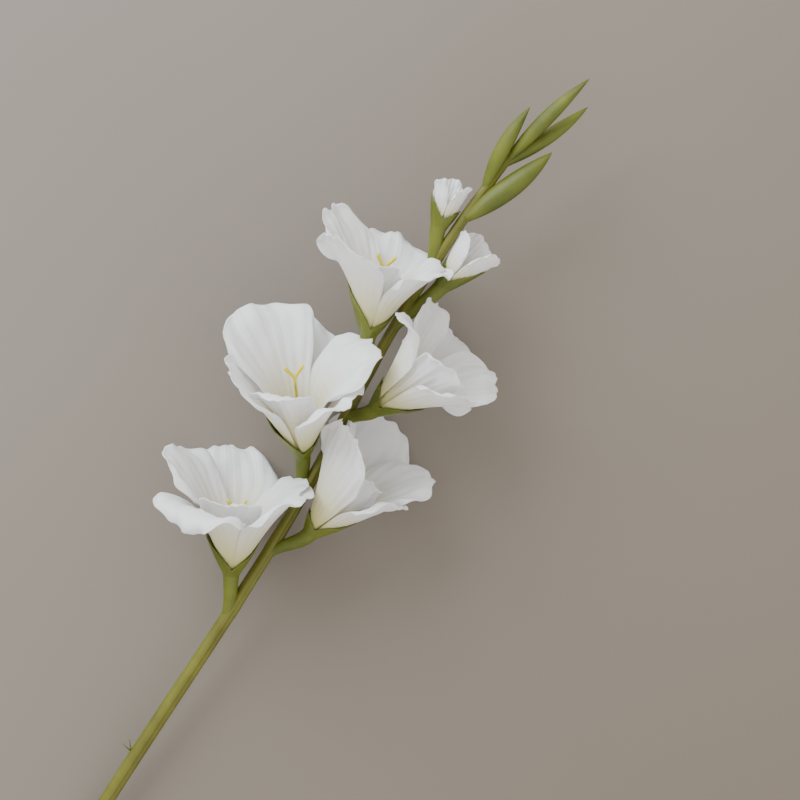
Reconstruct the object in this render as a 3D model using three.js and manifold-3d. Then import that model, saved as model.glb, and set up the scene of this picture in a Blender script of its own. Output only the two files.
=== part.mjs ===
// A cut gladiolus spike lying on a flat surface: one straight stem with five open flowers,
// two buds that show their first petals and four closed buds, set left and right of the stem.
// Units are millimetres. The stem runs along +Y from its cut end, and +Z is up.

import * as THREE from "three";
import { mergeVertices } from "three/addons/utils/BufferGeometryUtils.js";
import Module from "manifold-3d";

const wasm = await Module();
wasm.setup();

const DEG = THREE.MathUtils.DEG2RAD;

// Driving dimensions
const STEM_SIDES = 10;
const STEM_STEPS = 32;
const PETAL_THICKNESS = 0.8;
const PETAL_ROWS = 9;
const PETAL_COLUMNS = 6;
const PETAL_STEPS = 48; // of a petal's middle line
const PETAL_LIFT = 0.4; // above the bottom of the cup
const TIP_ROUNDING = 0.4; // how far a petal's corners stay behind its tip
const GAP = 0.35; // left between pieces that touch
const CUP_DEPTH = 5; // how deep a flower sits in its green cup
const CUP_WALL = 0.9;
const CUP_RADIUS = 4.7; // inside, at the bottom
const CUP_SPREAD = 30; // degrees, between the cup's wall and the flower's axis
const CUP_SIDES = 16;
const CUP_FLOOR = -0.2;
const NOTCH_RIM = 1.2; // height of the cup's wall in the notch
const FOOT_RADIUS = 3.4; // where a cup leaves the stem
const FOOT_BEND = 0.6; // how far down the axis a foot bends, as a share of its length
const FOOT_ROWS = 4;
const LOBE_ROWS = 3;
const PISTIL_RADIUS = [0.8, 1.0]; // at the foot and at the arms' ends
const PISTIL_SIDES = 6;
const PISTIL_STEPS = 7;
const ARM = { fork: 6, reach: 6, rise: 8 }; // where a pistil forks, and how its arms end
const BUD_SIDES = 10;
const BUD_STEPS = 10;
const BUD_END = 0.25; // radius of a closed bud at its tip
const WHORL_RADIUS = { outer: 3.4, inner: 2.2 }; // where the petals of each whorl start
const CLASP = 50; // degrees that half a petal covers around the tube
const REST_PITCH = 0.6; // degrees that the spike turns as it comes to lie
const REST_ROLL = 5.5;
const TINY = 1e-3;
const EDGE_TURN = 0.2; // radians, the least step across a petal to tell which way it faces

// The stem's middle line from the cut end to the tip: x, y, z and the radius there
const STEM_LINE = [
  [0, 0, 5, 4.5],
  [-1, 120, 15, 4.4],
  [-1, 220, 23, 4.1],
  [-3, 295, 30, 3.6],
  [-8, 355, 35, 3.5],
  [-13, 415, 40, 3.3],
  [-14, 490, 46, 3.2],
  [-11, 540, 50, 2.4],
  [-9, 549, 51, 1.2],
];

// Each flower: where its notch is, where its foot meets the stem, how its axis points
// (heading to the left of +Y, tilt above the surface), its two green lobes and its petals.
// A petal has its azimuth around the axis (0 faces up, 90 the right-hand side), its length
// and width, how far it leans out from the axis at its base, middle and tip, and its cup,
// which is how far it bends across its width.
const FLOWERS = [
  {
    name: "flower1", foot: [-1, 219, 23], notch: [-16, 241, 32], heading: 29,
    tilt: 16, lobes: [22, 16],
    petals: [
      { whorl: "outer", azimuth: -40, length: 84, width: 70, lean: [25, 54, 190], cup: 20 },
      { whorl: "outer", azimuth: 62, length: 76, width: 66, lean: [27, 36, 46], cup: 50 },
      { whorl: "outer", azimuth: -174, length: 88, width: 60, lean: [27, 50, 76], cup: 10 },
      { whorl: "inner", azimuth: -112, length: 86, width: 68, lean: [21, 36, 60], cup: 40 },
      { whorl: "inner", azimuth: 91, length: 75, width: 62, lean: [21, 36, 60], cup: 50 },
      { whorl: "inner", azimuth: -10, length: 66, width: 58, lean: [20, 26, 34], cup: 70 },
    ],
    pistil: 40,
  },
  {
    name: "flower2", foot: [-8, 306, 31], notch: [-20, 324, 39], heading: 40,
    tilt: 30, lobes: [25, 10],
    petals: [
      { whorl: "outer", azimuth: -84, length: 80, width: 66, lean: [25, 28, 28], cup: 50 },
      { whorl: "outer", azimuth: 42, length: 70, width: 62, lean: [27, 38, 50], cup: 50 },
      { whorl: "outer", azimuth: 172, length: 84, width: 60, lean: [27, 50, 60], cup: 10 },
      { whorl: "inner", azimuth: -157, length: 96, width: 88, lean: [21, 34, 46], cup: 70 },
      { whorl: "inner", azimuth: 96, length: 88, width: 68, lean: [21, 44, 76], cup: 50 },
      { whorl: "inner", azimuth: -24, length: 74, width: 62, lean: [20, 24, 36], cup: 70 },
    ],
    pistil: 50,
  },
  {
    name: "flower3", foot: [-12, 388, 38], notch: [-26, 407, 49], heading: 21,
    tilt: 14, lobes: [27, 12],
    petals: [
      { whorl: "outer", azimuth: -42, length: 72, width: 76, lean: [27, 40, 28], cup: 40 },
      { whorl: "outer", azimuth: 60, length: 67, width: 60, lean: [27, 38, 54], cup: 40 },
      { whorl: "outer", azimuth: 176, length: 74, width: 60, lean: [27, 50, 70], cup: 10 },
      { whorl: "inner", azimuth: -120, length: 80, width: 58, lean: [21, 40, 60], cup: 60 },
      { whorl: "inner", azimuth: 88, length: 65, width: 56, lean: [21, 34, 56], cup: 50 },
      { whorl: "inner", azimuth: -18, length: 60, width: 58, lean: [20, 26, 36], cup: 70 },
    ],
    pistil: 42,
  },
  {
    name: "flower4", foot: [0, 268, 27], notch: [13, 288, 37], heading: -8,
    tilt: 12, lobes: [7, 19],
    petals: [
      { whorl: "outer", azimuth: -46, length: 78, width: 60, lean: [27, 20, 18], cup: 60 },
      { whorl: "outer", azimuth: 70, length: 60, width: 60, lean: [27, 24, 26], cup: 40 },
      { whorl: "outer", azimuth: -174, length: 88, width: 66, lean: [27, 38, 42], cup: 30 },
      { whorl: "inner", azimuth: -98, length: 72, width: 50, lean: [20, 18, 12], cup: 60 },
      { whorl: "inner", azimuth: 122, length: 82, width: 62, lean: [21, 30, 44], cup: 60 },
      { whorl: "inner", azimuth: 14, length: 58, width: 52, lean: [18, 12, 8], cup: 70 },
    ],
    pistil: 30,
  },
  {
    name: "flower5", foot: [-6, 359, 35], notch: [5, 371, 46], heading: -20,
    tilt: 14, lobes: [12, 20],
    petals: [
      { whorl: "outer", azimuth: -58, length: 74, width: 26, lean: [26, 34, 110], cup: 120 },
      { whorl: "outer", azimuth: 58, length: 62, width: 58, lean: [26, 28, 26], cup: 40 },
      { whorl: "outer", azimuth: -178, length: 88, width: 66, lean: [27, 60, 88], cup: 10 },
      { whorl: "inner", azimuth: -122, length: 75, width: 54, lean: [21, 26, 34], cup: 60 },
      { whorl: "inner", azimuth: 128, length: 78, width: 60, lean: [21, 32, 48], cup: 60 },
      { whorl: "inner", azimuth: 15, length: 64, width: 56, lean: [20, 22, 26], cup: 70 },
    ],
    pistil: 36,
  },
];

const OPENING_BUDS = [
  {
    name: "bud1", foot: [-12, 424, 41], notch: [-2, 455, 43], heading: -10,
    tilt: 5, lobes: [10, 20],
    petals: [
      { whorl: "outer", azimuth: -60, length: 36, width: 18, lean: [20, 12, 10], cup: 60 },
      { whorl: "outer", azimuth: 60, length: 38, width: 18, lean: [20, 12, 12], cup: 60 },
      { whorl: "outer", azimuth: 180, length: 40, width: 18, lean: [20, 12, 8], cup: 60 },
    ],
  },
  {
    name: "bud2", foot: [-15, 464, 44], notch: [-25, 484, 45], heading: 14,
    tilt: 2, lobes: [13, 8],
    petals: [
      { whorl: "outer", azimuth: -60, length: 28, width: 15, lean: [16, 10, 12], cup: 60 },
      { whorl: "outer", azimuth: 60, length: 29, width: 15, lean: [16, 10, 16], cup: 60 },
      { whorl: "outer", azimuth: 180, length: 31, width: 15, lean: [16, 10, 14], cup: 60 },
    ],
  },
];

// Closed buds: base, tip, sideways bow and greatest radius
const CLOSED_BUDS = [
  { name: "bud3", base: [-11, 500, 47], tip: [8, 553, 54], bow: 3, radius: 6 },
  { name: "bud4", base: [-14, 521, 49], tip: [-18, 568, 58], bow: -4, radius: 4.6 },
  { name: "bud5", base: [-8, 540, 47], tip: [12, 588, 46], bow: 3, radius: 4.4 },
  { name: "bud6", base: [-10, 543, 53], tip: [2, 601, 64], bow: -2, radius: 4.4 },
];

const PETAL_WHITE = new THREE.MeshStandardMaterial({ color: 0xeceef0, roughness: 0.75, metalness: 0 });
const LEAF_GREEN = new THREE.MeshStandardMaterial({ color: 0x8f9a3c, roughness: 0.6, metalness: 0 });
const PISTIL_YELLOW = new THREE.MeshStandardMaterial({ color: 0xd2cd32, roughness: 0.6, metalness: 0 });

function smoothStep(low, high, value) {
  return THREE.MathUtils.smoothstep(value, low, high);
}

function clampedWay(low, high, value) {
  return THREE.MathUtils.clamp((value - low) / (high - low), 0, 1);
}

// A closed body between a grid of points on its inside and a second grid on its outside
function slab(inside, outside) {
  const rows = inside.length;
  const columns = inside[0].length;
  const points = [...inside.flat(), ...outside.flat()];
  const top = (i, j) => i * columns + j;
  const bottom = (i, j) => rows * columns + i * columns + j;
  const faces = [];
  const quad = (a, b, c, d) => faces.push(a, b, c, a, c, d);
  for (let i = 0; i < rows - 1; i++) {
    for (let j = 0; j < columns - 1; j++) {
      quad(top(i, j), top(i, j + 1), top(i + 1, j + 1), top(i + 1, j));
      quad(bottom(i, j), bottom(i + 1, j), bottom(i + 1, j + 1), bottom(i, j + 1));
    }
    quad(top(i, 0), top(i + 1, 0), bottom(i + 1, 0), bottom(i, 0));
    quad(top(i + 1, columns - 1), top(i, columns - 1), bottom(i, columns - 1), bottom(i + 1, columns - 1));
  }
  for (let j = 0; j < columns - 1; j++) {
    quad(top(0, j + 1), top(0, j), bottom(0, j), bottom(0, j + 1));
    quad(top(rows - 1, j), top(rows - 1, j + 1), bottom(rows - 1, j + 1), bottom(rows - 1, j));
  }
  return geometryOf(points, faces);
}

// A closed body from rings of points, closed at each end by a point in its middle
function rings(sections, start, end) {
  const sides = sections[0].length;
  const points = [...sections.flat(), start, end];
  const first = points.length - 2;
  const last = points.length - 1;
  const lastRing = (sections.length - 1) * sides;
  const faces = [];
  for (let j = 0; j < sides; j++) {
    const k = (j + 1) % sides;
    faces.push(first, k, j, last, lastRing + j, lastRing + k);
    for (let i = 0; i < sections.length - 1; i++) {
      const a = i * sides;
      const b = a + sides;
      faces.push(a + j, a + k, b + k, a + j, b + k, b + j);
    }
  }
  return geometryOf(points, faces);
}

function geometryOf(points, faces) {
  const geometry = new THREE.BufferGeometry().setFromPoints(points);
  geometry.setIndex(faces);
  geometry.computeVertexNormals();
  return geometry;
}

function toSolid(geometry) {
  const bare = geometry.clone();
  bare.deleteAttribute("normal");
  bare.deleteAttribute("uv");
  const merged = mergeVertices(bare, 1e-4);
  const vertProperties = Float32Array.from(merged.attributes.position.array);
  const triVerts = Uint32Array.from(merged.index.array);
  return new wasm.Manifold(new wasm.Mesh({ numProp: 3, vertProperties, triVerts }));
}

function toGeometry(solid) {
  const mesh = solid.getMesh();
  const geometry = new THREE.BufferGeometry();
  geometry.setAttribute("position", new THREE.BufferAttribute(mesh.vertProperties, 3));
  geometry.setIndex(new THREE.BufferAttribute(mesh.triVerts, 1));
  geometry.computeVertexNormals();
  return geometry;
}

// A round tube along a curve whose radius is a function of the way along it
function tube(curve, radiusAt, sides, steps) {
  const sections = [];
  const side = new THREE.Vector3();
  const up = new THREE.Vector3(0, 0, 1);
  for (let i = 0; i <= steps; i++) {
    const tangent = curve.getTangentAt(i / steps);
    const middle = curve.getPointAt(i / steps);
    side.crossVectors(tangent, up).normalize();
    const rise = new THREE.Vector3().crossVectors(side, tangent);
    const section = [];
    for (let j = 0; j < sides; j++) {
      const turn = (2 * Math.PI * j) / sides;
      const radius = radiusAt(i / steps);
      const point = middle.clone();
      point.addScaledVector(side, radius * Math.sin(turn));
      point.addScaledVector(rise, radius * Math.cos(turn));
      section.push(point);
    }
    sections.push(section);
  }
  return rings(sections, curve.getPointAt(0), curve.getPointAt(1));
}

function makeStem(growth) {
  const curve = new THREE.CatmullRomCurve3(STEM_LINE.map((p) => new THREE.Vector3(p[0], p[1], p[2])));
  const length = STEM_LINE.at(-1)[1];
  const radiusAt = (way) => {
    const y = way * length;
    const above = Math.max(1, STEM_LINE.findIndex((p) => p[1] >= y - 1e-6));
    const [low, high] = [STEM_LINE[above - 1], STEM_LINE[above]];
    return growth + THREE.MathUtils.mapLinear(y, low[1], high[1], low[3], high[3]);
  };
  return tube(curve, radiusAt, STEM_SIDES, STEM_STEPS);
}

// A petal's middle surface in the flower's frame: x to the right, y along the axis, z up.
// It returns a function of s (base to tip) and an angle (-90 to 90 degrees, edge to edge).
function petalSurface(petal) {
  const turn = petal.azimuth * DEG;
  const outwards = new THREE.Vector3(Math.sin(turn), 0, Math.cos(turn));
  const sideways = new THREE.Vector3(Math.cos(turn), 0, -Math.sin(turn));
  const axis = new THREE.Vector3(0, 1, 0);
  const [leanBase, leanMiddle, leanTip] = petal.lean;
  const leanAt = (s) => DEG * (leanBase + (leanMiddle - leanBase) * clampedWay(0.4, 0.7, s)
    + (leanTip - leanMiddle) * clampedWay(0.7, 1, s));
  const line = [new THREE.Vector2(WHORL_RADIUS[petal.whorl], PETAL_LIFT)];
  for (let i = 0; i < PETAL_STEPS; i++) {
    const lean = leanAt((i + 0.5) / PETAL_STEPS);
    const step = petal.length / PETAL_STEPS;
    line.push(new THREE.Vector2(Math.sin(lean), Math.cos(lean)).multiplyScalar(step).add(line[i]));
  }
  return (s, turned) => {
    const t = Math.sin(turned);
    const along = s * (1 - TIP_ROUNDING * (1 - Math.cos(turned)));
    const place = Math.min(along * PETAL_STEPS, PETAL_STEPS - TINY);
    const low = Math.floor(place);
    const at = line[low].clone().lerp(line[low + 1], place - low);
    const lean = leanAt(along);
    const tubePart = 1 - smoothStep(0.3, 0.8, along);
    const swell = 0.14 + 0.86 * Math.sin((Math.PI / 2) * Math.min(along / 0.66, 1)) ** 1.8;
    const taper = 1 - 0.25 * Math.max(0, (along - 0.66) / 0.34) ** 2;
    const free = (petal.width / 2) * swell * taper;
    const half = Math.min(free, CLASP * DEG * Math.max(at.x, 1));
    const round = Math.min((2 * half) / Math.max(at.x, 1), 2 * CLASP * DEG);
    const bend = THREE.MathUtils.lerp(petal.cup * DEG, round, tubePart);
    const curvature = bend / (2 * half);
    const across = Math.sin(curvature * half * t) / curvature;
    const inwards = (1 - Math.cos(curvature * half * t)) / curvature;
    const point = outwards.clone().multiplyScalar(at.x - inwards * Math.cos(lean));
    point.addScaledVector(axis, at.y + inwards * Math.sin(lean));
    point.addScaledVector(sideways, across);
    return point;
  };
}

function makePetal(petal) {
  const surface = petalSurface(petal);
  const inside = [];
  const outside = [];
  for (let i = 0; i <= PETAL_ROWS; i++) {
    const s = i / PETAL_ROWS;
    const above = [];
    const below = [];
    for (let j = 0; j <= PETAL_COLUMNS; j++) {
      const turned = Math.PI * (j / PETAL_COLUMNS - 0.5);
      const point = surface(s, turned);
      const ahead = surface(Math.min(s + TINY, 1), turned).sub(surface(Math.max(s - TINY, 0), turned));
      const inner = THREE.MathUtils.clamp(turned, EDGE_TURN - Math.PI / 2, Math.PI / 2 - EDGE_TURN);
      const aside = surface(s, inner + EDGE_TURN).sub(surface(s, inner - EDGE_TURN));
      const normal = ahead.cross(aside).normalize();
      above.push(point.clone().addScaledVector(normal, PETAL_THICKNESS / 2));
      below.push(point.clone().addScaledVector(normal, -PETAL_THICKNESS / 2));
    }
    outside.push(above);
    inside.push(below);
  }
  return slab(inside, outside);
}

// The green cup of a flower: a solid foot that leaves the stem, then a thin wall with a
// pointed lobe on its left and on its right and a notch between them.
function makeCup(flower, frame, stem) {
  const foot = new THREE.Vector3(...flower.foot).applyMatrix4(frame.clone().invert());
  const knee = new THREE.Vector3(0, -FOOT_BEND * foot.length(), 0);
  const path = new THREE.QuadraticBezierCurve3(foot, knee, new THREE.Vector3());
  const wallAt = (height) => CUP_RADIUS + height * Math.tan(CUP_SPREAD * DEG);
  const ringAt = (heightAt, wall) => {
    const ring = [];
    for (let j = 0; j < CUP_SIDES; j++) {
      const turn = (2 * Math.PI * j) / CUP_SIDES;
      const height = heightAt(turn);
      const radius = wallAt(height) + wall;
      ring.push(new THREE.Vector3(radius * Math.sin(turn), height, radius * Math.cos(turn)));
    }
    return ring;
  };
  const rimAt = (turn) => {
    const reach = Math.sin(turn) < 0 ? flower.lobes[0] : flower.lobes[1];
    const off = Math.acos(Math.abs(Math.sin(turn))) / (Math.PI / 2);
    return NOTCH_RIM + reach * (1 - off);
  };
  const sections = [];
  for (let i = 0; i < FOOT_ROWS; i++) {
    const way = i / FOOT_ROWS;
    const middle = path.getPoint(way);
    const radius = THREE.MathUtils.lerp(FOOT_RADIUS, CUP_RADIUS + CUP_WALL, way);
    const tangent = path.getTangent(way);
    const front = new THREE.Vector3(0, 0, 1);
    front.addScaledVector(tangent, -front.dot(tangent)).normalize();
    const right = new THREE.Vector3().crossVectors(tangent, front);
    const ring = [];
    for (let j = 0; j < CUP_SIDES; j++) {
      const turn = (2 * Math.PI * j) / CUP_SIDES;
      const point = middle.clone().addScaledVector(right, radius * Math.sin(turn));
      ring.push(point.addScaledVector(front, radius * Math.cos(turn)));
    }
    sections.push(ring);
  }
  sections.push(ringAt(() => 0, CUP_WALL));
  sections.push(ringAt(() => CUP_DEPTH, CUP_WALL));
  for (let m = 1; m <= LOBE_ROWS; m++) {
    sections.push(ringAt((turn) => CUP_DEPTH + (m / LOBE_ROWS) * rimAt(turn), CUP_WALL));
  }
  for (let m = LOBE_ROWS; m >= 1; m--) {
    sections.push(ringAt((turn) => CUP_DEPTH + (m / LOBE_ROWS) * rimAt(turn), 0));
  }
  sections.push(ringAt(() => CUP_DEPTH, 0));
  sections.push(ringAt(() => 0, CUP_FLOOR));
  const geometry = rings(sections, foot, new THREE.Vector3(0, CUP_FLOOR, 0));
  geometry.applyMatrix4(frame);
  return toGeometry(toSolid(geometry).subtract(stem));
}

// A stalk that forks into two arms, like a Y
function makePistil(height) {
  const arm = (side) => new THREE.CatmullRomCurve3([
    new THREE.Vector3(0, PETAL_LIFT, 0),
    new THREE.Vector3(0, height - ARM.fork, 0),
    new THREE.Vector3((side * ARM.reach) / 5, height, 0.3),
    new THREE.Vector3(side * ARM.reach, height + ARM.rise, 1),
  ]);
  const radiusAt = (way) => THREE.MathUtils.lerp(...PISTIL_RADIUS, way);
  const left = toSolid(tube(arm(-1), radiusAt, PISTIL_SIDES, PISTIL_STEPS));
  const right = toSolid(tube(arm(1), radiusAt, PISTIL_SIDES, PISTIL_STEPS));
  return toGeometry(left.add(right));
}

// A spindle on a bowed line, cut where it would run into the stem
function makeClosedBud(bud, stem) {
  const base = new THREE.Vector3(...bud.base);
  const tip = new THREE.Vector3(...bud.tip);
  const middle = base.clone().lerp(tip, 0.5);
  middle.x += bud.bow;
  const curve = new THREE.QuadraticBezierCurve3(base, middle, tip);
  const swell = (way) => Math.sin(Math.PI * (0.14 + 0.86 * way) ** 0.9) ** 0.75;
  const radiusAt = (way) => BUD_END + bud.radius * swell(way);
  const solid = toSolid(tube(curve, radiusAt, BUD_SIDES, BUD_STEPS));
  return toGeometry(solid.subtract(stem));
}

function addMesh(parent, name, geometry, material) {
  const mesh = new THREE.Mesh(geometry, material);
  mesh.name = name;
  parent.add(mesh);
}

// A group at the bottom of a flower's cup, with y along the flower's axis and z up
function flowerGroup(flower) {
  const group = new THREE.Group();
  group.rotation.set(flower.tilt * DEG, 0, flower.heading * DEG, "ZXY");
  const axis = new THREE.Vector3(0, 1, 0).applyEuler(group.rotation);
  group.position.set(...flower.notch).addScaledVector(axis, -CUP_DEPTH);
  group.updateMatrix();
  return group;
}

const spike = new THREE.Group();
addMesh(spike, "stem", makeStem(0), LEAF_GREEN);
const stemSpace = toSolid(makeStem(GAP));

for (const flower of [...FLOWERS, ...OPENING_BUDS]) {
  const group = flowerGroup(flower);
  addMesh(spike, `${flower.name}_cup`, makeCup(flower, group.matrix, stemSpace), LEAF_GREEN);
  flower.petals.forEach((petal, index) => {
    const name = `${flower.name}_petal${index + 1}`;
    addMesh(group, name, makePetal(petal), PETAL_WHITE);
  });
  if (flower.pistil) addMesh(group, `${flower.name}_pistil`, makePistil(flower.pistil), PISTIL_YELLOW);
  spike.add(group);
}
for (const bud of CLOSED_BUDS) {
  addMesh(spike, bud.name, makeClosedBud(bud, stemSpace), LEAF_GREEN);
}

// The spike lies with its lowest petals and its cut end on the surface z = 0
const part = new THREE.Group();
spike.rotation.set(REST_PITCH * DEG, REST_ROLL * DEG, 0);
part.add(spike);
part.updateMatrixWorld(true);
const box = new THREE.Box3().setFromObject(part, true);
const middle = box.getCenter(new THREE.Vector3());
spike.position.set(-middle.x, -middle.y, -box.min.z);

export default part;
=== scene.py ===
# %% [markdown]
# # A white gladiolus spike
# A cut gladiolus lies on a pale table. The straight green stem carries five open flowers, two buds
# that show their first white petals and four closed buds. A natural-looking flower is a few simple
# sheets that are bent well, so nearly everything here is one flat grid that a formula bends into
# a petal, a cup, a bud or the stem. The other ways would be sculpting, which is hard to repeat six
# times round a flower, and cloth simulation, which gives folds but not a chosen outline.

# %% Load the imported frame
import math
import bmesh
import bpy
from mathutils import Matrix, Vector


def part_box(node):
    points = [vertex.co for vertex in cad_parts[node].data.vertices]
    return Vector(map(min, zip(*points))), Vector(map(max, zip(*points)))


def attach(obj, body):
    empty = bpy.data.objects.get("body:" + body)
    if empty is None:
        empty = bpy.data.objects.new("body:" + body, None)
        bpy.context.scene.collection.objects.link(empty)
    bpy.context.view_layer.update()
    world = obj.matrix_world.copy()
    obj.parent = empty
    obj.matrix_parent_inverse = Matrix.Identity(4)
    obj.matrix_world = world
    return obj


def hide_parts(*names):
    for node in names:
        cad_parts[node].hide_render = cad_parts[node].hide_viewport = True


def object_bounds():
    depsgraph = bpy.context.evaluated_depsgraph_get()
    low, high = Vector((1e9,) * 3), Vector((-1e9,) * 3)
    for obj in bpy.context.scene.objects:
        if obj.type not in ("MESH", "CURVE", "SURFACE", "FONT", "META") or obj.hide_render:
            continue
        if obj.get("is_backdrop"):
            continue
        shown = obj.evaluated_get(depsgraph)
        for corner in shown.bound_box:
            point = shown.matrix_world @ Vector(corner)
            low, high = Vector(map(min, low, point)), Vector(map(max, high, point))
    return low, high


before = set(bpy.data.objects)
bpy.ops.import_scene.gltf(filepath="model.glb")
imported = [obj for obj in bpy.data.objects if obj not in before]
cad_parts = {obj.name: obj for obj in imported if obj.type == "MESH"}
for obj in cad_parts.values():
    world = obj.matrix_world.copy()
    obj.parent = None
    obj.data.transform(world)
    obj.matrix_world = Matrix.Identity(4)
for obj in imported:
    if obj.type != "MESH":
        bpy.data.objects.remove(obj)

cad_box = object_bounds()
MM = 0.001
print("CAD box in metres:", [[round(v, 3) for v in corner] for corner in cad_box])

# %% [markdown]
# ## The camera
# The spike lies down, so the camera hangs over the table and looks straight down. It is turned so
# that the stem climbs from the lower left to the upper right. A long lens from far away keeps the
# flowers from looking bent at the edges, as a short lens from near by would make them.

# %% Hang the camera over the flowers
VIEW_TURN = math.radians(33)
VIEW_WIDTH = 480 * MM  # what the picture is to span, at the height of the stem
VIEW_OFFSET = Vector((32.3, 79.7)) * MM  # from the middle of the box towards the flowers
LENS = 150
SENSOR = 36
STEM_HEIGHT = 40 * MM

camera = bpy.data.objects.new("camera", bpy.data.cameras.new("camera"))
bpy.context.scene.collection.objects.link(camera)
camera.data.lens = LENS
camera.data.sensor_width = SENSOR
box_low, box_high = (Vector(corner) for corner in cad_box)
middle = (box_low + box_high) / 2
height = STEM_HEIGHT + VIEW_WIDTH * LENS / SENSOR
camera.location = (middle.x + VIEW_OFFSET.x, middle.y + VIEW_OFFSET.y, height)
camera.rotation_euler = (0, 0, VIEW_TURN)
bpy.context.scene.camera = camera
print("camera height:", round(height, 3), "m")

# %% [markdown]
# ## Table and light
# White petals only look white and thin when the light is soft and comes mostly from one side. A
# wide area lamp on the upper left stands for a window, a weak one on the other side keeps the shadows
# open, and a grey sky fills in the rest. Small lamps would draw hard shadows on the table.

# %% Lay the table
def new_material(name):
    """An empty material with its Principled shader, and the node tree it is in"""
    material = bpy.data.materials.new(name)
    material.use_nodes = True
    return material, material.node_tree, material.node_tree.nodes["Principled BSDF"]


def add_node(tree, kind, **values):
    """A node of one kind: inputs are set by name, and the rest are its own settings"""
    node = tree.nodes.new(kind)
    for key, value in values.items():
        if key in node.inputs:
            node.inputs[key].default_value = value
        else:
            setattr(node, key, value)
    return node


TABLE_SIZE = 4  # metres from its middle to each edge
# The next two numbers paint shade onto the table: its colour goes from a lit tone near the window to
# a darker painted shade away from it.
TABLE_PAINTED_SHADE_FALL = (1.44, -0.31, 0)  # the table darkens this fast per metre, away from the window
TABLE_PAINTED_SHADE_START = 0.35  # how far along its two tones it is at the middle
TABLE_SPECKLE = 0.3
table_paint, tree, shader = new_material("table_paint")
shader.inputs["Roughness"].default_value = 0.9
speckle = add_node(tree, "ShaderNodeTexNoise", Scale=3.0, Detail=2.0)
tones = add_node(tree, "ShaderNodeValToRGB")
# The two tones are the table's lit colour and its painted shade; the speckle moves the colour between
# them at random.
tones.color_ramp.elements[0].color = (0.226, 0.2, 0.174, 1)
tones.color_ramp.elements[1].color = (0.159, 0.132, 0.104, 1)
place = add_node(tree, "ShaderNodeTexCoord")
painted_shade_fall = add_node(tree, "ShaderNodeVectorMath", operation="DOT_PRODUCT")
painted_shade_fall.inputs[1].default_value = TABLE_PAINTED_SHADE_FALL
total = add_node(tree, "ShaderNodeMath", operation="MULTIPLY_ADD")
total.inputs[1].default_value = TABLE_SPECKLE
tree.links.new(place.outputs["Object"], painted_shade_fall.inputs[0])
tree.links.new(place.outputs["Object"], speckle.inputs["Vector"])
tree.links.new(speckle.outputs["Fac"], total.inputs[0])
shifted = add_node(tree, "ShaderNodeMath", operation="ADD")
shifted.inputs[1].default_value = TABLE_PAINTED_SHADE_START
tree.links.new(painted_shade_fall.outputs["Value"], shifted.inputs[0])
tree.links.new(shifted.outputs["Value"], total.inputs[2])
tree.links.new(total.outputs["Value"], tones.inputs["Fac"])
tree.links.new(tones.outputs["Color"], shader.inputs["Base Color"])

bm = bmesh.new()
bmesh.ops.create_grid(bm, x_segments=2, y_segments=2, size=TABLE_SIZE)
mesh = bpy.data.meshes.new("table")
bm.to_mesh(mesh)
bm.free()
table = bpy.data.objects.new("table", mesh)
bpy.context.scene.collection.objects.link(table)
mesh.materials.append(table_paint)
table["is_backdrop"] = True
print("table laid at z = 0")

# %% [markdown]
# The three lights differ: the window is nearly white and strong, the room lamp warm and
# weak, and the sky is what the petals' shaded sides and the table mostly get.

# %% Light it from the upper left
LAMPS = [  # name, place and size in metres, power in watts, colour
    ("window", (-2.3, 0.8, 1.5), 2.2, 124, (0.88, 0.95, 1.0)),
    ("room", (1.9, -1.2, 2.0), 3.0, 14, (1.0, 0.95, 0.88)),
]
ROOM_AIR = (1.0, 0.975, 0.94, 1)
ROOM_AIR_STRENGTH = 1.32


def area_lamp(name, place, size, power, colour):
    """A square soft lamp that points at the middle of the spike"""
    lamp = bpy.data.lights.new(name, "AREA")
    lamp.size = size
    lamp.energy = power
    lamp.color = colour
    holder = bpy.data.objects.new(name, lamp)
    bpy.context.scene.collection.objects.link(holder)
    holder.location = place
    holder.rotation_euler = (middle - Vector(place)).to_track_quat("-Z", "Y").to_euler()
    print(name, "at", tuple(round(v, 2) for v in place))


for lamp in LAMPS:
    area_lamp(*lamp)
world = bpy.data.worlds.new("room_air")
world.use_nodes = True
world.node_tree.nodes["Background"].inputs["Color"].default_value = ROOM_AIR
world.node_tree.nodes["Background"].inputs["Strength"].default_value = ROOM_AIR_STRENGTH
bpy.context.scene.world = world

# %% [markdown]
# ## Petal material
# A petal is thin: it is white where light falls on it and glows softly where light comes through
# it. A Principled shader mixed with a Translucent one does both, and stays cheap next to real
# subsurface scattering. The colour goes from green-yellow in the throat to white, along the petal's
# own UV map, whose U runs across the petal and V from its base to its tip. Fine veins fan out from
# the base, as a wave across U, and a faint crinkle lies over them.

# %% Petal white
LIGHT_THROUGH = 0.36  # the share of the light that comes through a petal


def ramp(tree, stops):
    """A colour ramp with its stops given as (place, colour)"""
    node = add_node(tree, "ShaderNodeValToRGB")
    elements = node.color_ramp.elements
    while len(elements) < len(stops):
        elements.new(0.5)
    for element, (position, colour) in zip(elements, stops):
        element.position = position
        element.color = (*colour, 1)
    return node


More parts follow.
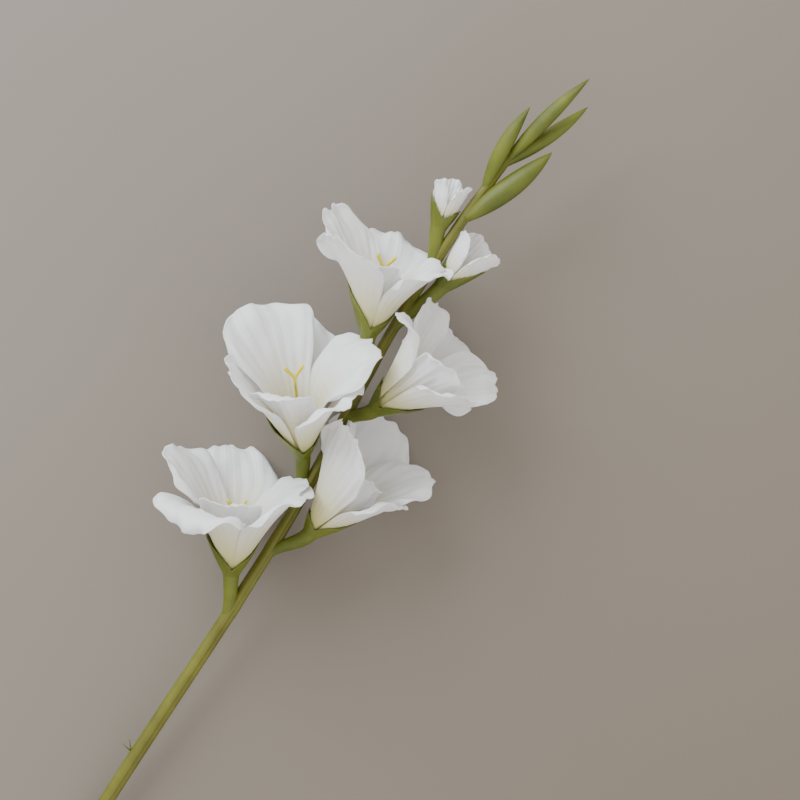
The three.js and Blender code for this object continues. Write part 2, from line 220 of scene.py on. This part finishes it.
def vein_bump(tree, shader, per_width, height, crinkle):
    """Lengthwise veins with a fine crinkle over them, as bump on the shader"""
    uv = add_node(tree, "ShaderNodeUVMap", uv_map="UVMap")
    veins = add_node(tree, "ShaderNodeTexWave", Scale=per_width, Distortion=1.6, Detail=2.0)
    veins.inputs["Detail Scale"].default_value = 1.5
    tree.links.new(uv.outputs["UV"], veins.inputs["Vector"])
    place = add_node(tree, "ShaderNodeTexCoord")
    grain = add_node(tree, "ShaderNodeTexNoise", Scale=crinkle, Detail=4.0)
    tree.links.new(place.outputs["Object"], grain.inputs["Vector"])
    total = add_node(tree, "ShaderNodeMath", operation="MULTIPLY_ADD")
    total.inputs[1].default_value = 0.5
    tree.links.new(grain.outputs["Fac"], total.inputs[0])
    tree.links.new(veins.outputs["Fac"], total.inputs[2])
    bump = add_node(tree, "ShaderNodeBump", Strength=0.5, Distance=height)
    tree.links.new(total.outputs["Value"], bump.inputs["Height"])
    tree.links.new(bump.outputs["Normal"], shader.inputs["Normal"])
    return uv, veins, bump


petal_white, tree, shader = new_material("petal_white")
shader.inputs["Roughness"].default_value = 0.62
shader.inputs["Sheen Weight"].default_value = 0.15
uv, _, bump = vein_bump(tree, shader, 11.0, 0.00012, 900.0)
split = add_node(tree, "ShaderNodeSeparateXYZ")
tree.links.new(uv.outputs["UV"], split.inputs["Vector"])
throat = ramp(tree, [
    (0.0, (0.46, 0.5, 0.1)),
    (0.2, (0.76, 0.73, 0.36)),
    (0.36, (0.85, 0.82, 0.6)),
    (0.54, (0.92, 0.9, 0.83)),
    (0.72, (0.94, 0.945, 0.955)),
])
tree.links.new(split.outputs["Y"], throat.inputs["Fac"])
tree.links.new(throat.outputs["Color"], shader.inputs["Base Color"])
through = add_node(tree, "ShaderNodeBsdfTranslucent")
tree.links.new(throat.outputs["Color"], through.inputs["Color"])
tree.links.new(bump.outputs["Normal"], through.inputs["Normal"])
both = add_node(tree, "ShaderNodeMixShader")
both.inputs[0].default_value = LIGHT_THROUGH
output = tree.nodes["Material Output"]
tree.links.new(shader.outputs["BSDF"], both.inputs[1])
tree.links.new(through.outputs["BSDF"], both.inputs[2])
tree.links.new(both.outputs["Shader"], output.inputs["Surface"])
print("petal white:", len(tree.nodes), "nodes")

# %% [markdown]
# ## Greens and yellow
# The stem, the cups and the buds are a satin olive green. Two patterns at different scales keep it
# from looking like paint: a broad noise moves the hue between olive and yellow-green, and a wave
# across the piece's U draws the fibres that run along it. The pistils are a dull powdery yellow.

# %% Green and yellow
def green_material(name, dark, light, fibres):
    """A satin green with broad patches and fine fibres along the piece's V"""
    material, tree, shader = new_material(name)
    shader.inputs["Roughness"].default_value = 0.4
    shader.inputs["Specular IOR Level"].default_value = 0.36
    shader.inputs["Subsurface Weight"].default_value = 0.06
    shader.inputs["Subsurface Radius"].default_value = (0.002, 0.003, 0.001)
    veins = vein_bump(tree, shader, fibres, 0.00015, 400.0)[1]
    place = add_node(tree, "ShaderNodeTexCoord")
    patches = add_node(tree, "ShaderNodeTexNoise", Scale=45.0, Detail=3.0)
    tree.links.new(place.outputs["Object"], patches.inputs["Vector"])
    hue = ramp(tree, [(0.3, dark), (0.7, light)])
    tree.links.new(patches.outputs["Fac"], hue.inputs["Fac"])
    lines = add_node(tree, "ShaderNodeMix", data_type="RGBA", blend_type="MULTIPLY")
    lines.inputs["Factor"].default_value = 0.18
    tree.links.new(hue.outputs["Color"], lines.inputs["A"])
    tree.links.new(veins.outputs["Color"], lines.inputs["B"])
    tree.links.new(lines.outputs["Result"], shader.inputs["Base Color"])
    print(name, "ready")
    return material


stem_green = green_material("stem_green", (0.1, 0.096, 0.006), (0.16, 0.158, 0.014), 9.0)
bract_green = green_material("bract_green", (0.08, 0.1, 0.005), (0.15, 0.17, 0.014), 14.0)

pistil_yellow, tree, shader = new_material("pistil_yellow")
shader.inputs["Roughness"].default_value = 0.6
place = add_node(tree, "ShaderNodeTexCoord")
dust = add_node(tree, "ShaderNodeTexNoise", Scale=900.0, Detail=3.0)
powder = ramp(tree, [(0.35, (0.62, 0.52, 0.015)), (0.65, (0.8, 0.72, 0.03))])
tree.links.new(place.outputs["Object"], dust.inputs["Vector"])
tree.links.new(dust.outputs["Fac"], powder.inputs["Fac"])
tree.links.new(powder.outputs["Color"], shader.inputs["Base Color"])
print("pistil yellow ready")

# %% [markdown]
# ## One grid, many shapes
# Every petal, cup, bud and the stem starts as bmesh's flat grid. Its two directions become U and V,
# and a formula says where each point (U, V) goes. A petal stays an open sheet and then gets its
# thickness from Solidify. A tube, such as the stem, rolls the grid up so that its two long edges
# meet, and merging the doubled points closes the seam and the two ends.

# %% Bend a grid into a piece
def grid_piece(name, across, along, where, material, nodes, thickness=None):
    bm = bmesh.new()
    bm.loops.layers.uv.new("UVMap")
    bmesh.ops.create_grid(bm, x_segments=across, y_segments=along, size=0.5, calc_uvs=True)
    for vert in bm.verts:
        vert.co = where(vert.co.x + 0.5, vert.co.y + 0.5)
    if thickness is None:
        bmesh.ops.remove_doubles(bm, verts=bm.verts, dist=1e-6)
        bmesh.ops.dissolve_degenerate(bm, dist=1e-7, edges=bm.edges)
        bmesh.ops.recalc_face_normals(bm, faces=bm.faces)
    for face in bm.faces:
        face.smooth = True
    mesh = bpy.data.meshes.new(name)
    bm.to_mesh(mesh)
    bm.free()
    piece = bpy.data.objects.new(name, mesh)
    bpy.context.scene.collection.objects.link(piece)
    mesh.materials.append(material)
    if thickness is not None:
        wall = piece.modifiers.new("thickness", "SOLIDIFY")
        wall.thickness = thickness
        wall.offset = 0
    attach(piece, "root")
    for node in nodes:
        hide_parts(node)
    return piece


# %% [markdown]
# The formulas all need the same few steps: a soft or a straight way from 0 to 1, a mix of two
# values, and a ring round a line that carries a tube's section.

# %% Small helpers for the formulas
def ease(low, high, value):
    """0 below low, 1 above high and a smooth step between"""
    way = min(max((value - low) / (high - low), 0), 1)
    return way * way * (3 - 2 * way)


def ramp_way(low, high, value):
    """0 below low, 1 above high and a straight line between"""
    return min(max((value - low) / (high - low), 0), 1)


def mix(a, b, way):
    """The value part of the way from a to b"""
    return a + (b - a) * way


# %% [markdown]
# ## How the spike lies
# The layout is in millimetres with the cut end at y = 0 and the stem along +Y. Lying on its lowest
# petals and its cut end turns the whole spike a few degrees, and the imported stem's box says where
# it came to lie, so the two together carry every point of the layout to its place.

# %% The stem's line, and the turn and place of the whole spike
STEM_LINE = [
    (0, 0, 5, 4.5),
    (-1, 120, 15, 4.4),
    (-1, 220, 23, 4.1),
    (-3, 295, 30, 3.6),
    (-8, 355, 35, 3.5),
    (-13, 415, 40, 3.3),
    (-14, 490, 46, 3.2),
    (-11, 540, 50, 2.4),
    (-9, 549, 51, 1.2),
]
REST_PITCH = math.radians(0.6)
REST_ROLL = math.radians(5.5)
rest_turn = Matrix.Rotation(REST_PITCH, 4, "X") @ Matrix.Rotation(REST_ROLL, 4, "Y")


def stem_at(y):
    """The stem's middle and radius in the layout at a distance from its cut end"""
    row = 1
    while row < len(STEM_LINE) - 1 and STEM_LINE[row][1] < y:
        row += 1
    before, after = STEM_LINE[max(row - 2, 0)], STEM_LINE[min(row + 1, len(STEM_LINE) - 1)]
    low, high = STEM_LINE[row - 1], STEM_LINE[row]
    way = ramp_way(low[1], high[1], y)
    points = [Vector(p) for p in (before, low, high, after)]
    span = high[1] - low[1]
    slope_low = (points[2] - points[0]) * span / max(high[1] - before[1], 1)
    slope_high = (points[3] - points[1]) * span / max(after[1] - low[1], 1)
    square, cube = way * way, way ** 3
    at = points[1] * (2 * cube - 3 * square + 1) + points[2] * (3 * square - 2 * cube)
    at += slope_low * (cube - 2 * square + way) + slope_high * (cube - square)
    return Vector((at[0], y, at[2])), at[3]


stem_low = Vector(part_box("stem")[0])
tip_y = STEM_LINE[-1][1]
ends = [rest_turn @ stem_at(y)[0] * MM for y in (0, tip_y)]
spike_shift = Vector((0, 0, 0))
end_radius = STEM_LINE[0][3] * MM
stem_tilt = math.atan2(ends[1].z - ends[0].z, ends[1].y - ends[0].y)
spike_shift.y = stem_low.y - (ends[0].y - math.sin(stem_tilt) * end_radius)
spike_shift.z = stem_low.z - (ends[0].z - math.cos(stem_tilt) * end_radius)
left_edge = min((rest_turn @ stem_at(y)[0] * MM).x - stem_at(y)[1] * MM for y in range(0, tip_y, 3))
spike_shift.x = stem_low.x - left_edge
place_spike = Matrix.Translation(spike_shift) @ rest_turn @ Matrix.Scale(MM, 4)
print("spike moved by", [round(v / MM, 1) for v in spike_shift], "mm")

# %% [markdown]
# ## The petal formula
# A petal is bent in two ways. Along its length it leans out from the flower's axis, little at the
# base and more towards the tip, and where it has a curl the tip turns over further. Across its
# width it is rolled: near the base it follows the round tube that all six petals make, and higher
# up it opens to its own cup. On top come pleats that fan out from the base, a ruffle that grows
# towards the rim, and an uneven outline, so that no two petals are alike.

# %% Where a point of a petal goes
PETAL_WALL = 0.35 * MM
CLASP = math.radians(58)  # half of what a petal covers around the tube
WHORL_RADIUS = {"outer": 3.4, "inner": 2.2}
CUP_DEPTH = 5
PETAL_LIFT = 0.4
BASE_WIDTH = 0.14  # a petal's width at its base, as a share of its full width
WIDEST_AT = 0.66  # how far up a petal is widest
TAPER = 0.25  # what the width loses from there to the tip
TIP_ROUND = 0.4  # how much shorter a petal is along its sides than along its middle
RUFFLE = 2.4  # the height of the waves along the rim, in mm
RUFFLE_WAVES = 2.5
PLEAT = 0.5
PLEATS = 26
EDGE_ROLL = 1.1  # how far the rim turns back, for each mm of ruffle


def petal_line(petal, steps=96):
    """The petal's middle line as (distance from the axis, height, lean), base to tip"""
    base, centre, tip = petal["lean"]
    line = []
    out, up = WHORL_RADIUS[petal["whorl"]], PETAL_LIFT
    for step in range(steps + 1):
        s = step / steps
        lean = base + (centre - base) * ramp_way(0.35, 0.7, s)
        lean += (tip - centre) * ramp_way(0.7, 1, s)
        lean = math.radians(lean + petal.get("curl", 0) * ramp_way(0.78, 1, s) ** 2)
        line.append((out, up, lean))
        out += math.sin(lean) * petal["length"] / steps
        up += math.cos(lean) * petal["length"] / steps
    return line


def petal_seed(petal):
    """A number that sets one petal's waves apart from the next one's"""
    return petal["azimuth"] * 0.37 + petal["length"]


def petal_half_width(petal, s, out):
    """Half the petal's width at s, no wider than it can be round the tube at radius out"""
    swell = BASE_WIDTH + (1 - BASE_WIDTH) * math.sin(math.pi / 2 * min(s / WIDEST_AT, 1)) ** 1.8
    taper = 1 - petal.get("taper", TAPER) * max(0, (s - WIDEST_AT) / (1 - WIDEST_AT)) ** 2
    return min(petal["width"] / 2 * swell * taper, CLASP * max(out, 1))


def petal_relief(petal, s, t, u, v):
    """How far ruffles, pleats, creases and the turned rim lift a point towards the axis, in mm"""
    seed = petal_seed(petal)
    ruffle = petal.get("ruffle", RUFFLE)
    rim = ease(0.35, 1, s)
    side = abs(t) ** 2.2
    wave = math.sin(math.pi * RUFFLE_WAVES * t + seed + 2 * s)
    depth = ruffle * rim * (0.25 + 0.75 * side) * wave
    depth += 0.6 * ruffle * side * ease(0.25, 0.8, s) * math.sin(9 * s + seed * 1.7 + t)
    tip_wave = math.sin(3.3 * math.pi * RUFFLE_WAVES * u + 3 * seed)
    depth += 0.35 * ruffle * ease(0.75, 1, v) * tip_wave
    pleat = petal.get("pleat", PLEAT) * ease(0.1, 0.6, s)
    depth += pleat * math.sin(PLEATS * t + seed) * (1 - 0.6 * abs(t))
    crease = math.sin(15 * t + 9 * s + 2.3 * seed) * math.sin(16 * s - 5 * t + seed)
    depth += 0.22 * ruffle * rim * crease
    depth -= EDGE_ROLL * ruffle * abs(t) ** 7 * ease(0.4, 0.85, s)
    return depth - EDGE_ROLL * ruffle * ease(0.84, 1, v) ** 2


def petal_where(petal, place):
    """The function of (u, v) that bends the grid into this petal"""
    line = petal_line(petal)
    steps = len(line) - 1
    turn = math.radians(petal["azimuth"])
    outwards = Vector((math.sin(turn), 0, math.cos(turn)))
    sideways = Vector((math.cos(turn), 0, -math.sin(turn)))
    seed = petal_seed(petal)

    def where(u, v):
        t = math.sin(math.pi * (u - 0.5))
        uneven = 0.025 * math.sin(5.1 * t + seed) + 0.014 * math.sin(13 * t + 2 * seed)
        s = v * (1 - TIP_ROUND * (1 - math.cos(math.pi * (u - 0.5))) + uneven * v)
        spot = min(max(s, 0) * steps, steps - 1e-6)
        low = int(spot)
        out, up, lean = (mix(a, b, spot - low) for a, b in zip(line[low], line[low + 1]))
        half = petal_half_width(petal, s, out)
        round_bend = min(2 * half / max(out, 1), 2 * CLASP)
        bend = mix(math.radians(petal["cup"]), round_bend, 1 - ease(0.3, 0.8, s))
        curve = bend / (2 * half)
        across = math.sin(curve * half * t) / curve
        depth = (1 - math.cos(curve * half * t)) / curve + petal_relief(petal, s, t, u, v)
        point = outwards * (out - depth * math.cos(lean)) + sideways * across
        point = place @ (point + Vector((0, up + depth * math.sin(lean), 0)))
        point.z = max(point.z, PETAL_WALL)
        return point

    return where


def flower_place(flower):
    """Carries a flower's own frame (x right, y along its axis, z up) to its place"""
    turn = Matrix.Rotation(math.radians(flower["heading"]), 4, "Z")
    turn = turn @ Matrix.Rotation(math.radians(flower["tilt"]), 4, "X")
    axis = turn @ Vector((0, 1, 0))
    return place_spike @ Matrix.Translation(Vector(flower["notch"]) - axis * CUP_DEPTH) @ turn


# %% [markdown]
# ## The five open flowers
# Each flower has an outer ring of three petals and an inner ring of three that sit in the gaps. The
# table of flowers holds what differs: where each sits on the stem, how it points, and how each
# petal opens. Azimuth 0 is the petal that faces up and 90 the one on the right.

# %% The flowers and their petals
FLOWERS = [
    {
        "name": "flower1", "foot": (-1, 219, 23), "notch": (-16, 241, 32),
        "heading": 29, "tilt": 16, "lobes": (22, 16), "pistil": 40,
        "petals": [
            dict(whorl="outer", azimuth=-40, length=84, width=70, lean=(25, 54, 190),
                 cup=20, ruffle=3),
            dict(whorl="outer", azimuth=62, length=76, width=66, lean=(27, 36, 46),
                 cup=50, curl=50),
            dict(whorl="outer", azimuth=-174, length=88, width=60, lean=(27, 50, 76),
                 cup=10, ruffle=3),
            dict(whorl="inner", azimuth=-112, length=86, width=68, lean=(21, 36, 60),
                 cup=40, curl=-40),
            dict(whorl="inner", azimuth=91, length=75, width=62, lean=(21, 36, 60), cup=50),
            dict(whorl="inner", azimuth=-10, length=66, width=58, lean=(20, 26, 34),
                 cup=70, curl=40),
        ],
    },
    {
        "name": "flower2", "foot": (-8, 306, 31), "notch": (-20, 324, 39),
        "heading": 40, "tilt": 30, "lobes": (25, 10), "pistil": 56,
        "petals": [
            dict(whorl="outer", azimuth=-84, length=80, width=66, lean=(25, 28, 28),
                 cup=50, curl=-30),
            dict(whorl="outer", azimuth=42, length=70, width=62, lean=(27, 38, 50),
                 cup=50, curl=40),
            dict(whorl="outer", azimuth=172, length=84, width=60, lean=(27, 50, 60), cup=10),
            dict(whorl="inner", azimuth=-157, length=96, width=88, lean=(21, 34, 46),
                 cup=70, ruffle=3, pleat=0.8),
            dict(whorl="inner", azimuth=96, length=88, width=68, lean=(21, 44, 76),
                 cup=50, ruffle=3),
            dict(whorl="inner", azimuth=-24, length=74, width=62, lean=(20, 24, 36),
                 cup=70, curl=50),
        ],
    },
    {
        "name": "flower3", "foot": (-12, 388, 38), "notch": (-26, 407, 49),
        "heading": 21, "tilt": 14, "lobes": (27, 12), "pistil": 42,
        "petals": [
            dict(whorl="outer", azimuth=-52, length=75, width=66, lean=(27, 40, 28),
                 cup=40, taper=0.7),
            dict(whorl="outer", azimuth=60, length=67, width=60, lean=(27, 38, 54),
                 cup=40, curl=40),
            dict(whorl="outer", azimuth=176, length=74, width=60, lean=(27, 50, 70),
                 cup=10, ruffle=3),
            dict(whorl="inner", azimuth=-120, length=80, width=58, lean=(21, 40, 60),
                 cup=60, curl=-60),
            dict(whorl="inner", azimuth=88, length=65, width=56, lean=(21, 34, 56),
                 cup=50, curl=60, ruffle=3),
            dict(whorl="inner", azimuth=-18, length=60, width=58, lean=(20, 26, 36),
                 cup=70, curl=40),
        ],
    },
    {
        "name": "flower4", "foot": (0, 268, 27), "notch": (13, 288, 37),
        "heading": -8, "tilt": 12, "lobes": (7, 19), "pistil": 30,
        "petals": [
            dict(whorl="outer", azimuth=-46, length=78, width=60, lean=(27, 20, 18),
                 cup=60, pleat=1.2),
            dict(whorl="outer", azimuth=70, length=60, width=60, lean=(27, 24, 26), cup=40),
            dict(whorl="outer", azimuth=-174, length=88, width=66, lean=(27, 38, 42),
                 cup=30, curl=-50),
            dict(whorl="inner", azimuth=-98, length=72, width=50, lean=(20, 18, 12), cup=60),
            dict(whorl="inner", azimuth=122, length=82, width=62, lean=(21, 30, 44),
                 cup=60, ruffle=3),
            dict(whorl="inner", azimuth=14, length=58, width=52, lean=(18, 12, 8), cup=70, curl=50),
        ],
    },
    {
        "name": "flower5", "foot": (-6, 359, 35), "notch": (5, 371, 46),
        "heading": -20, "tilt": 14, "lobes": (12, 20), "pistil": 36,
        "petals": [
            dict(whorl="outer", azimuth=-58, length=74, width=26, lean=(26, 34, 110),
                 cup=120, taper=0.1),
            dict(whorl="outer", azimuth=58, length=62, width=58, lean=(26, 28, 26), cup=40),
            dict(whorl="outer", azimuth=-178, length=88, width=66, lean=(27, 60, 88), cup=10),
            dict(whorl="inner", azimuth=-122, length=75, width=54, lean=(21, 26, 34), cup=60),
            dict(whorl="inner", azimuth=128, length=78, width=60, lean=(21, 32, 48),
                 cup=60, ruffle=3),
            dict(whorl="inner", azimuth=15, length=64, width=56, lean=(20, 22, 26), cup=70),
        ],
    },
]

PETAL_ACROSS = 42
PETAL_ALONG = 60


def make_petals(flower):
    """Bends every petal of one flower or opening bud"""
    place = flower_place(flower)
    for number, petal in enumerate(flower["petals"], start=1):
        name = f"{flower['name']}_white_petal{number}"
        node = f"{flower['name']}_petal{number}"
        grid_piece(name, PETAL_ACROSS, PETAL_ALONG, petal_where(petal, place), petal_white,
                   [node], PETAL_WALL)


for flower in FLOWERS:
    make_petals(flower)
    print(flower["name"], "has", len(flower["petals"]), "petals")

# %% [markdown]
# ## Two buds that open
# The next two flowers up the stem only show a short roll of three petals above their green cups.
# They use the same petal formula with a small lean and a strong cup, which wraps the petals round
# each other.

# %% The opening buds
OPENING_BUDS = [
    {
        "name": "bud1", "foot": (-12, 424, 41), "notch": (-2, 455, 43), "spread": 20,
        "heading": -10, "tilt": 5, "lobes": (10, 20),
        "petals": [
            dict(whorl="outer", azimuth=-60, length=36, width=30, lean=(20, 12, 10),
                 cup=90, ruffle=1.2),
            dict(whorl="outer", azimuth=60, length=38, width=30, lean=(20, 12, 12),
                 cup=90, ruffle=1.2),
            dict(whorl="outer", azimuth=180, length=40, width=30, lean=(20, 12, 8),
                 cup=90, ruffle=1.2),
        ],
    },
    {
        "name": "bud2", "foot": (-15, 464, 44), "notch": (-25, 484, 45), "spread": 20,
        "heading": 14, "tilt": 2, "lobes": (13, 8),
        "petals": [
            dict(whorl="outer", azimuth=-60, length=28, width=24, lean=(16, 10, 12),
                 cup=90, ruffle=1.0),
            dict(whorl="outer", azimuth=60, length=29, width=24, lean=(16, 10, 16),
                 cup=90, ruffle=1.0),
            dict(whorl="outer", azimuth=180, length=31, width=24, lean=(16, 10, 14),
                 cup=90, ruffle=1.0),
        ],
    },
]
for flower in OPENING_BUDS:
    make_petals(flower)
    print(flower["name"], "shows", len(flower["petals"]), "petals")

# %% [markdown]
# ## The green cups
# A flower grows out of a two-lobed green cup. Its foot leaves the stem like a thick twig, and its
# thin wall splits into a pointed lobe on the left and one on the right with a sharp notch between.
# The grid is rolled round the axis: U goes round, and V goes up the outside from the foot to the
# rim and down the inside to the bottom, so the wall comes out with a real thickness.

# %% Roll the cups
CUP_WALL = 0.8
CUP_RADIUS = 4.2
CUP_SPREAD = 28
FOOT_RADIUS = 3.4
FOOT_REACH = 12  # how far below its foot a cup's stalk starts, hidden in the stem
FOOT_KNEE = 0.45  # where the stalk straightens, as a share of its length
FOOT_PART, WALL_PART = 0.36, 0.72  # shares of V for the foot and, up to there, the outside wall


def cup_where(flower, place):
    """The function of (u, v) that rolls the grid into this flower's cup"""
    to_own = (place_spike.inverted() @ place).inverted()
    foot = to_own @ Vector(flower["foot"])
    root = to_own @ stem_at(flower["foot"][1] - FOOT_REACH)[0]
    knee = Vector((0, -FOOT_KNEE * foot.length, 0))
    left, right = flower["lobes"]
    slope = math.tan(math.radians(flower.get("spread", CUP_SPREAD)))

    def ring(turn, height, wall):
        lobe = left if math.sin(turn) < 0 else right
        edge = ease(0, 1.3 * lobe, height - CUP_DEPTH)
        radius = CUP_RADIUS + height * slope * (1 - 0.06 * edge) + wall
        radius += 0.25 * math.sin(9 * turn) * ease(-2, 8, height)
        return Vector((radius * math.sin(turn), height, radius * math.cos(turn)))

    def rim(turn):
        lobe = left if math.sin(turn) < 0 else right
        off = math.acos(min(abs(math.sin(turn)), 1)) / (math.pi / 2)
        return CUP_DEPTH + 0.4 + lobe * (1 - off) ** 1.05

    def where(u, v):
        turn = 2 * math.pi * u
        if v < FOOT_PART:
            way = v / FOOT_PART
            at = root * (1 - way) ** 3 + (foot * (1 - way) + knee * way) * 3 * way * (1 - way)
            along = (foot - root) * (1 - way) ** 2 + (knee - foot) * 2 * way * (1 - way)
            along = (along - knee * way * way).normalized()
            front = (Vector((0, 0, 1)) - along * along.z).normalized()
            side = along.cross(front)
            radius = mix(0.75 * FOOT_RADIUS, FOOT_RADIUS, ease(0, 0.4, way))
            radius = mix(radius, CUP_RADIUS + CUP_WALL, way ** 1.5) * ramp_way(0, 0.02, way)
            return place @ (at + side * radius * math.sin(turn) + front * radius * math.cos(turn))
        if v < WALL_PART:
            way = (v - FOOT_PART) / (WALL_PART - FOOT_PART)
            return place @ ring(turn, rim(turn) * way, CUP_WALL * (1 - 0.5 * way ** 4))
        way = (1 - v) / (1 - WALL_PART)
        if way < 1e-6:
            return place @ Vector((0, -0.3, 0))
        return place @ ring(turn, rim(turn) * way, -0.1 * CUP_WALL)

    return where


for flower in FLOWERS + OPENING_BUDS:
    name = flower["name"]
    grid_piece(f"{name}_green_cup", 48, 90, cup_where(flower, flower_place(flower)),
               bract_green, [f"{name}_cup"])
    print(name, "sits in its cup")

# %% [markdown]
# ## The yellow pistils
# Deep in each open flower a thin stalk ends in two yellow arms, like a Y. Each half is a tube that
# runs up the stalk and bends out into its arm, and the two halves share the stalk.

# %% Bend the pistils
ARM_REACH = 6
ARM_RISE = 8


def pistil_where(height, side, place):
    """The function of (u, v) that rolls the grid into one half of a pistil"""
    def where(u, v):
        turn = 2 * math.pi * u
        arm = ease(0.7, 1, v)
        reach = side * ARM_REACH * ramp_way(0.76, 1, v) ** 1.2
        up = 0.5 + height * ramp_way(0, 0.8, v) + ARM_RISE * ramp_way(0.8, 1, v)
        at = Vector((reach, up, arm))
        radius = (0.8 + 0.35 * arm) * (1 - ramp_way(0.97, 1, v) ** 3) * ramp_way(0, 0.02, v)
        along = Vector((side * arm, 1, 0)).normalized()
        across = along.cross(Vector((0, 0, 1)))
        ring = across * radius * math.cos(turn) + Vector((0, 0, radius * math.sin(turn)))
        return place @ (at + ring)

    return where


for flower in FLOWERS:
    name = flower["name"]
    for side, word in ((-1, "left"), (1, "right")):
        grid_piece(f"{name}_pistil_{word}", 12, 60,
                   pistil_where(flower["pistil"], side, flower_place(flower)),
                   pistil_yellow, [f"{name}_pistil"])
print("pistils bent")

# %% [markdown]
# ## The closed buds
# Towards the tip four buds are still shut. Each is a spindle of two green leaves that overlap along
# a seam, so the round section gets a shallow step along one side. A bud starts inside the stem, a
# little below where it leaves it, so that it grows out of the stem without a blunt end.

# %% Swell the closed buds
CLOSED_BUDS = [
    dict(name="bud3", base=(-11, 500, 47), tip=(8, 553, 54), bow=4, radius=6.6),
    dict(name="bud4", base=(-14, 521, 49), tip=(-18, 568, 58), bow=-4, radius=4.6),
    dict(name="bud5", base=(-8, 540, 47), tip=(12, 588, 46), bow=3, radius=4.4),
    dict(name="bud6", base=(-10, 543, 53), tip=(2, 601, 64), bow=-2, radius=4.4),
]
SEAM_TURN = 0.9  # where the step is, in radians round the bud
SEAM_FADE = 2.2  # the step fades over this turn
SEAM_STEP = 0.12
BUD_PLUMP = 1.06
BUD_REACH = 9  # how far below its base a bud starts, hidden in the stem


def bud_where(bud):
    """The function of (u, v) that swells the grid into this bud"""
    base, tip = Vector(bud["base"]), Vector(bud["tip"])
    bend = (base + tip) / 2 + Vector((bud["bow"], 0, 0))
    base = stem_at(base.y - BUD_REACH)[0]

    def where(u, v):
        turn = 2 * math.pi * u
        at = base * (1 - v) ** 2 + bend * 2 * v * (1 - v) + tip * v * v
        along = ((bend - base) * (1 - v) + (tip - bend) * v).normalized()
        side = along.cross(Vector((0, 0, 1))).normalized()
        rise = side.cross(along)
        swell = math.sin(math.pi * (0.1 + 0.9 * v) ** 0.95) ** 0.85 if v < 1 else 0
        fold = ramp_way(SEAM_TURN, SEAM_TURN + SEAM_FADE, turn) if turn > SEAM_TURN else 1
        radius = bud["radius"] * BUD_PLUMP * swell * ramp_way(0, 0.015, v)
        radius *= 1 - SEAM_STEP * (1 - fold)
        return place_spike @ (at + side * radius * math.sin(turn) + rise * radius * math.cos(turn))

    return where


for bud in CLOSED_BUDS:
    grid_piece(f"{bud['name']}_closed", 72, 60, bud_where(bud), bract_green,
               [bud["name"]])
print(len(CLOSED_BUDS), "closed buds")

# %% [markdown]
# ## The stem
# The stem is a long tube that gets thinner towards its tip, with low ridges along it, one narrow
# groove where the halves of a mould met, and a small swelling wherever a flower's foot leaves it.

# %% Roll the stem
STEM_LENGTH = STEM_LINE[-1][1]
JOINTS = [flower["foot"][1] for flower in FLOWERS + OPENING_BUDS]
JOINT_SWELL = 0.06
JOINT_SPREAD = 7
RIDGES = 5
RIDGE_HEIGHT = 0.02
GROOVE_TURN, GROOVE_WIDTH, GROOVE_DEPTH = 0.45, 0.13, 0.16


def stem_where(u, v):
    """Rolls the grid into the stem, from the cut end to the tip"""
    turn = 2 * math.pi * u
    y = STEM_LENGTH * v
    at, radius = stem_at(y)
    ahead = (stem_at(min(y + 1, STEM_LENGTH))[0] - stem_at(max(y - 1, 0))[0]).normalized()
    side = ahead.cross(Vector((0, 0, 1))).normalized()
    rise = side.cross(ahead)
    swell = sum(math.exp(-((y - joint) / JOINT_SPREAD) ** 2) for joint in JOINTS)
    groove = math.exp(-((turn - GROOVE_TURN) / GROOVE_WIDTH) ** 2)
    ridge = math.sin(RIDGES * turn + 0.01 * y)
    radius *= 1 + JOINT_SWELL * swell + RIDGE_HEIGHT * ridge - GROOVE_DEPTH * groove
    radius *= math.sqrt(ramp_way(-0.0005, 0.001, v)) * math.sqrt(1 - ramp_way(0.985, 1, v) ** 2)
    if v <= 0 or v >= 1:
        radius = 0
    return place_spike @ (at + side * radius * math.sin(turn) + rise * radius * math.cos(turn))


grid_piece("green_stem", 36, 420, stem_where, stem_green, ["stem"])
print("stem rolled,", STEM_LENGTH, "mm long")

# %% [markdown]
# ## A sprig left by the mould
# Low on the stem's left side a tiny pale V of plastic sticks out, where the two halves of the mould
# met. It is made like the stem: a grid rolled into a thin tube for each of its two arms.

# %% Roll the sprig's two arms
SPRIG_Y = 112
SPRIG_RADIUS = 0.55


def sprig_where(reach, rise):
    """The function of (u, v) that rolls the grid into one thin arm, (reach, rise) mm long"""
    start, radius = stem_at(SPRIG_Y)
    start = start - Vector((0.85 * radius, 0, 0))
    arm = Vector((-reach, rise, 1.5))
    side = arm.cross(Vector((0, 0, 1))).normalized()
    other = side.cross(arm.normalized())

    def where(u, v):
        turn = 2 * math.pi * u
        width = SPRIG_RADIUS * (1 - 0.6 * v) if 0 < v < 1 else 0
        at = start + arm * v + Vector((0, 0, 0.8 * math.sin(math.pi * v)))
        return place_spike @ (at + side * width * math.sin(turn) + other * width * math.cos(turn))

    return where


for name, reach, rise in (("stem_sprig_upper", 5, 6), ("stem_sprig_lower", 7, 1.5)):
    grid_piece(name, 10, 16, sprig_where(reach, rise), bract_green, [])
print("sprig rolled")

# %% [markdown]
# ## Sizes
# Last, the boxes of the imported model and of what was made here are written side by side, so that
# anyone can see that the looks have not outgrown the solids.

# %% Write the sizes and finish
new_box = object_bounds()
sizes = {"cad": [list(corner) for corner in cad_box], "visual": [list(corner) for corner in new_box]}
for label, corners in sizes.items():
    print(label, [[round(v / MM, 1) for v in corner] for corner in corners])
